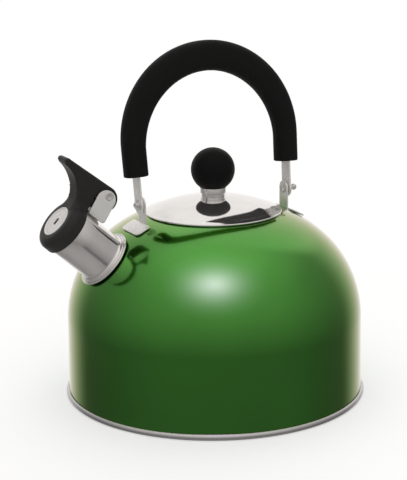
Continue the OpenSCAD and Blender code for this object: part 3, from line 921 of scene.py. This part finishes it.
def settle(mesh):
    """Moves a blank's points on to the surface where cap_distance is zero, evening them out on the way."""
    count = len(mesh.vertices)
    flat = np.zeros(count * 3)
    mesh.vertices.foreach_get("co", flat)
    world = flat.reshape(-1, 3) / MM - np.array(spout_at)
    axes = np.array([outward, (0, 1, 0), along])
    p = world @ axes.T
    edges = np.zeros(len(mesh.edges) * 2, int)
    mesh.edges.foreach_get("vertices", edges)
    edges = edges.reshape(-1, 2)
    links = np.zeros(count)
    np.add.at(links, edges.ravel(), 1)
    step = 0.01
    rounds = 12
    even_rounds = 9
    for turn in range(rounds):
        if turn < even_rounds:
            total = np.zeros_like(p)
            np.add.at(total, edges[:, 0], p[edges[:, 1]])
            np.add.at(total, edges[:, 1], p[edges[:, 0]])
            p = p + 0.5 * (total / links[:, None] - p)
        for _ in range(3):
            here = cap_distance(p)
            slope = np.stack([
                (cap_distance(p + step * way) - cap_distance(p - step * way)) / (2 * step)
                for way in np.eye(3)], 1)
            size = np.maximum((slope ** 2).sum(1), 0.3)
            p = p - np.clip(here / size, -1.0, 1.0)[:, None] * slope
    mesh.vertices.foreach_set("co", ((p @ axes + np.array(spout_at)) * MM).ravel())
    mesh.update()


def whistle_cap():
    """The black moulding: hollow for the spout and the whistle, with a pocket for the spring."""
    drum = cap_blank()
    settle(drum.data)
    bore_r = tube_r + 0.45
    hole_r = whistle_r + 0.03
    outline = [(0, cap_rear - 1), (bore_r, cap_rear - 1), (bore_r, 35.4), (10.42, 35.4)]
    outline += [(10.42, 36.22), (9.6, 36.22), (9.6, 41.18), (hole_r, 41.18)]
    outline += [(hole_r, cap_face + 1), (0, cap_face + 1)]
    cavity = revolved("cavity", outline, in_spout, 128)
    clear = revolved("clear", [(0, 15), (bore_r, 15), (bore_r, 34), (0, 34)], in_spout, 128)
    near = -lever_w / 2 - 1
    depth = -lever_w / 2 + 3.2
    pocket = prism("pocket", arc(0, 0, 3.9, 0, 2 * math.pi, 40)[:-1], on_pin, near, depth)
    swing = prism("swing", sector(9.6, -150, -34), on_pin, near - 0.1, depth + 0.01)
    legs = prism("legs", sector(15.6, -150, -66), on_pin, near - 0.2, depth + 0.02)
    pin_hole_r = pin_r + 0.05
    bore = revolved("bore", [(0, -20), (pin_hole_r, -20), (pin_hole_r, 20), (0, 20)], on_pin, 48)
    cut(drum, cavity, clear, pocket, swing, legs, bore)
    drum.name = "whistle_cap_lever"
    finished(drum, "cap", "black_cap", [CAP], "whistle_cap", smooth=42)


def whistle_disc():
    """The steel disc with a slot, set a little below the cap's face."""
    face = cap_face - 1.1
    outline = [(0, face), (whistle_r, face), (whistle_r, face + 0.95)]
    outline += [(whistle_r - 0.15, face + 1.12), (whistle_r - 0.75, face + 1.15)]
    outline += [(whistle_r - 1.0, face + 0.95), (whistle_r - 1.15, face + 0.78)]
    outline += [(whistle_r - 2.0, face + 0.8), (0, face + 0.8)]
    disc = revolved("whistle_disc", outline, in_spout, 128)
    corners = [(-2.4, -1.5, 0.8), (2.4, -1.5, 0.8), (2.4, 1.5, 0.8), (-2.4, 1.5, 0.8)]
    slot = prism("slot", rounded(corners), in_spout, face - 1, face + 3)
    cut(disc, slot)
    finished(disc, "cap", "spout_steel", [DISC], "whistle_front_disc")


kettle_body()
kettle_base()
lid()
knob_ball()
knob_collar()
handle_grip()
handle_strip()
bracket(-1, "bracket_spout_side")
bracket(1, "bracket_rear")
pivot_rivet(-1, "pivot_rivet_spout_side")
pivot_rivet(1, "pivot_rivet_rear")
spout()
hinge_channel()
hinge_pin()
hinge_spring()
whistle_cap()
whistle_disc()

for node, material in {
    # The seal ring under the spout's flange is black to stand for the shade in the gap there: painted shade.
    "spout_seal": SEAL_PAINTED_SHADE,
    "lid_skirt": SATIN,
    "knob_insert": BRASS,
    "knob_screw": FASTENER,
    "knob_washer": FASTENER,
    "pivot_spacer_spout_side": FASTENER,
    "pivot_spacer_rear": FASTENER,
    "rivet_washer_spout_side": FASTENER,
    "rivet_washer_rear": FASTENER,
    "whistle_back_disc": SATIN,
    "whistle_spacer": SATIN,
    "cap_seal": CLEAR,
}.items():
    mesh = frame["nodes"][node].data
    mesh.materials.clear()
    mesh.materials.append(material)


# ---------- stage, light and camera ----------

camera_at = Vector((-425.9, -825.1, 332.34))
camera_turn = math.radians(-26.892)
camera_pitch = math.radians(13.92)
camera_roll = math.radians(-0.672)


def camera():
    """The camera at the usual three-quarter view of the kettle."""
    made = bpy.data.cameras.new("camera")
    made.lens = 108.669
    made.sensor_width = 36
    made.clip_end = 100
    thing = bpy.data.objects.new("camera", made)
    bpy.context.scene.collection.objects.link(thing)
    turn = Matrix.Rotation(camera_turn, 4, "Z") @ Matrix.Rotation(math.pi / 2 - camera_pitch, 4, "X")
    thing.matrix_world = Matrix.Translation(camera_at * MM) @ turn @ Matrix.Rotation(camera_roll, 4, "Z")
    bpy.context.scene.camera = thing


def toward(azimuth, elevation):
    """A direction seen from the kettle: azimuth is from the camera's side, to the right, and up."""
    a = math.atan2(camera_at.x, -camera_at.y) + math.radians(azimuth)
    e = math.radians(elevation)
    return Vector((math.sin(a) * math.cos(e), -math.cos(a) * math.cos(e), math.sin(e)))


def ramp_of(tree, stops):
    """A grey colour ramp through (position, value) stops."""
    ramp = tree.nodes.new("ShaderNodeValToRGB")
    while len(ramp.color_ramp.elements) < len(stops):
        ramp.color_ramp.elements.new(0.5)
    for element, (position, value) in zip(ramp.color_ramp.elements, stops):
        element.position = position
        element.color = (value, value, value, 1)
    return ramp


def studio():
    """Surroundings that are bright overhead and behind, and dimmer towards the camera and the sides."""
    world = bpy.data.worlds.new("studio")
    bpy.context.scene.world = world
    world.use_nodes = True
    tree = world.node_tree
    nodes = tree.nodes
    join = tree.links.new
    background = next(n for n in nodes if n.type == "BACKGROUND")
    direction = nodes.new("ShaderNodeTexCoord").outputs["Generated"]

    def facing(vector):
        dot = nodes.new("ShaderNodeVectorMath")
        dot.operation = "DOT_PRODUCT"
        dot.inputs[1].default_value = vector
        join(direction, dot.inputs[0])
        return dot.outputs["Value"]

    def mapped(value, in_low, in_high, out_low, out_high):
        node = nodes.new("ShaderNodeMapRange")
        node.interpolation_type = "SMOOTHSTEP"
        node.inputs["From Min"].default_value = in_low
        node.inputs["From Max"].default_value = in_high
        node.inputs["To Min"].default_value = out_low
        node.inputs["To Max"].default_value = out_high
        join(value, node.inputs["Value"])
        return node.outputs["Result"]

    def mixed(factor, a, b):
        node = nodes.new("ShaderNodeMix")
        node.data_type = "FLOAT"
        join(factor, node.inputs["Factor"])
        for socket, value in ((node.inputs[2], a), (node.inputs[3], b)):
            if isinstance(value, float):
                socket.default_value = value
            else:
                join(value, socket)
        return node.outputs[0]

    def times(a, b):
        node = nodes.new("ShaderNodeMath")
        node.operation = "MULTIPLY"
        join(a, node.inputs[0])
        join(b, node.inputs[1])
        return node.outputs[0]

    height = nodes.new("ShaderNodeMapRange")
    height.inputs["From Min"].default_value = -1
    join(facing((0, 0, 1)), height.inputs["Value"])
    straight_down = 0.35
    darkest = 0.19
    under_ceiling = 0.73
    overhead_level = 0.92
    by_height = ramp_of(tree, [
        (0.0, straight_down), (0.32, darkest), (0.92, under_ceiling), (1.0, overhead_level)])
    join(height.outputs["Result"], by_height.inputs["Fac"])
    to_sides = mapped(facing(toward(0, 0)), -0.30, 0.8, 0.66, 1.0)
    overhead = mapped(facing((0, 0, 1)), 0.5, 0.95, 0.0, 1.0)
    sides = mixed(overhead, to_sides, 1.0)
    level = times(by_height.outputs["Color"], sides)
    sweep = mapped(facing(toward(180, 0)), 0.40, 1.0, 0.0, 1.0)
    level = mixed(sweep, level, 0.98)
    wall = mapped(facing(toward(165, 45)), 0.84, 0.92, 0.0, 1.0)
    level = mixed(wall, level, 0.95)
    gap_edge = math.cos(math.radians(8))
    gap_middle = math.cos(math.radians(3))
    gap = mapped(facing(toward(38, -29)), gap_edge, gap_middle, 1.0, 0.42)
    level = times(level, gap)
    seen = mixed(nodes.new("ShaderNodeLightPath").outputs["Is Camera Ray"], level, 1.0)
    join(seen, background.inputs["Strength"])
    background.inputs["Color"].default_value = (1.0, 0.985, 0.97, 1)


def floor():
    """A pale floor that can't be seen from below."""
    size = 6.0
    outline = arc(0, 0, size / MM, 0, 2 * math.pi, 96)[:-1]
    thing = mesh_object("floor", [(x, y, 0) for x, y in outline], [list(range(96))])
    m = Nodes("pale_floor")
    m.set(roughness=0.9)
    m.shader.inputs["Specular IOR Level"].default_value = 0.0
    m.shader.inputs["Emission Color"].default_value = (1, 1, 1, 1)
    m.shader.inputs["Emission Strength"].default_value = 0.42
    paint = m.colours(m.noise(3, 2), (0.86, 0.86, 0.86), (0.88, 0.88, 0.88))
    m.link(paint, m.shader.inputs["Base Color"])
    output = next(n for n in m.tree.nodes if n.type == "OUTPUT_MATERIAL")
    clear = m.add("ShaderNodeBsdfTransparent")
    either = m.add("ShaderNodeMixShader")
    m.link(m.add("ShaderNodeNewGeometry").outputs["Backfacing"], either.inputs[0])
    m.link(m.shader.outputs[0], either.inputs[1])
    m.link(clear.outputs[0], either.inputs[2])
    m.link(either.outputs[0], output.inputs["Surface"])
    thing.data.materials.append(m.material)
    if thing.data.polygons[0].normal.z < 0:
        thing.data.flip_normals()
    thing.visible_glossy = False


def glow_card():
    """A soft lamp that only the lacquered body sees: its white spot on the front of the dome."""
    spot = Vector((-32, -77, 100)) * MM
    facing = toward(0, 59)
    distance = 1.3
    half = 1.1
    mesh = bpy.data.meshes.new("glow_card")
    corners = [(-half, -half, 0), (half, -half, 0), (half, half, 0), (-half, half, 0)]
    mesh.from_pydata(corners, [], [(0, 1, 2, 3)])
    card = bpy.data.objects.new("glow_card", mesh)
    bpy.context.scene.collection.objects.link(card)
    turn = facing.to_track_quat("Z", "Y").to_matrix().to_4x4()
    card.matrix_world = Matrix.Translation(spot + facing * distance) @ turn
    material = bpy.data.materials.new("glow")
    material.use_nodes = True
    tree = material.node_tree
    tree.nodes.clear()
    output = tree.nodes.new("ShaderNodeOutputMaterial")
    emission = tree.nodes.new("ShaderNodeEmission")
    emission.inputs["Color"].default_value = (0.52, 0.145, 0.84, 1)
    length = tree.nodes.new("ShaderNodeVectorMath")
    length.operation = "LENGTH"
    soft_r = 0.337
    steps = 20
    stops = [(k / steps, math.exp(-(k / steps / soft_r) ** 1.45)) for k in range(steps)]
    falloff = ramp_of(tree, stops + [(1.0, 0.0)])
    strength = tree.nodes.new("ShaderNodeMath")
    strength.operation = "MULTIPLY"
    strength.inputs[1].default_value = 11.2
    join = tree.links.new
    join(tree.nodes.new("ShaderNodeTexCoord").outputs["Object"], length.inputs[0])
    join(length.outputs["Value"], falloff.inputs["Fac"])
    join(falloff.outputs["Color"], strength.inputs[0])
    join(strength.outputs[0], emission.inputs["Strength"])
    added = tree.nodes.new("ShaderNodeAddShader")
    join(emission.outputs[0], added.inputs[0])
    join(tree.nodes.new("ShaderNodeBsdfTransparent").outputs[0], added.inputs[1])
    join(added.outputs[0], output.inputs["Surface"])
    mesh.materials.append(material)
    card.visible_camera = False
    card.visible_diffuse = False
    card.visible_shadow = False
    card.visible_transmission = False
    lit = bpy.data.collections.new("lacquered")
    lit.objects.link(bpy.data.objects["kettle_body"])
    card.light_linking.receiver_collection = lit


camera()
studio()
floor()
glow_card()
bpy.context.scene.view_settings.view_transform = "Standard"
